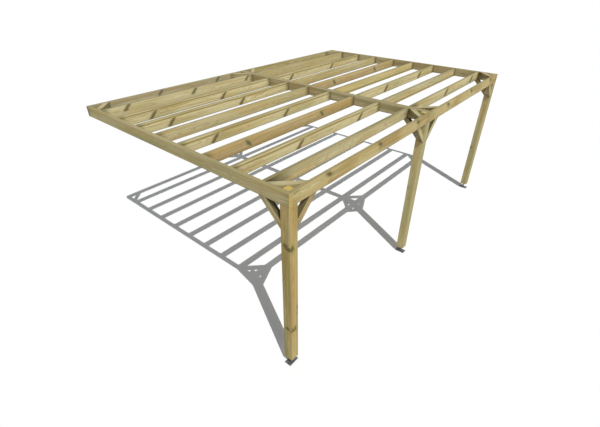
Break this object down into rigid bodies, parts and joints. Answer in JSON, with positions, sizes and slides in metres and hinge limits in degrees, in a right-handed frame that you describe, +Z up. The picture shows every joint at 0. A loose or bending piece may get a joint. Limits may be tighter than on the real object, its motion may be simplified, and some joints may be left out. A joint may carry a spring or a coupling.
{
  "type": "wall-mounted pergola",
  "caption": "Lean-to style flat timber pergola: front posts on steel bases, beams, rafters parallel to the wall, knee and corner braces, wall plates at the back.",
  "frame": {"origin": "middle of the wall plates' back face, at half their height, where the frame meets the wall", "axes": "+X to the right along the wall, +Y into the wall, +Z up"},
  "size_m": [6.015, 3.935, 2.45],
  "materials": {
    "post_timber": "planed pressure-treated softwood, eased edges",
    "beam_timber": "planed pressure-treated softwood, eased edges",
    "plate_timber": "planed pressure-treated softwood, greyer",
    "rafter_timber": "planed pressure-treated softwood, eased edges",
    "brace_timber": "planed pressure-treated softwood, eased edges",
    "steel": "dark grey coated steel"
  },
  "bodies": {
    "root": {"post_left": "post_timber", "post_middle": "post_timber", "post_right": "post_timber", "base_left": "steel", "base_middle": "steel", "base_right": "steel", "front_beam_left": "beam_timber", "front_beam_right": "beam_timber", "side_beam_left": "beam_timber", "centre_beam_left": "beam_timber", "centre_beam_right": "beam_timber", "side_beam_right": "beam_timber", "wall_plate_left": "plate_timber", "wall_plate_right": "plate_timber", "rafter_left_1": "rafter_timber", "rafter_left_2": "rafter_timber", "rafter_left_3": "rafter_timber", "rafter_left_4": "rafter_timber", "rafter_left_5": "rafter_timber", "rafter_left_6": "rafter_timber", "rafter_left_7": "rafter_timber", "rafter_left_8": "rafter_timber", "rafter_right_1": "rafter_timber", "rafter_right_2": "rafter_timber", "rafter_right_3": "rafter_timber", "rafter_right_4": "rafter_timber", "rafter_right_5": "rafter_timber", "rafter_right_6": "rafter_timber", "rafter_right_7": "rafter_timber", "rafter_right_8": "rafter_timber", "knee_left_front": "brace_timber", "knee_left_side": "brace_timber", "knee_middle_left": "brace_timber", "knee_middle_right": "brace_timber", "knee_middle_back": "brace_timber", "knee_right_front": "brace_timber", "knee_right_side": "brace_timber", "corner_front_left": "brace_timber", "corner_front_middle_left": "brace_timber", "corner_front_middle_right": "brace_timber", "corner_front_right": "brace_timber", "corner_wall_left": "brace_timber", "corner_wall_middle_left": "brace_timber", "corner_wall_middle_right": "brace_timber", "corner_wall_right": "brace_timber"}
  },
  "joints": []
}
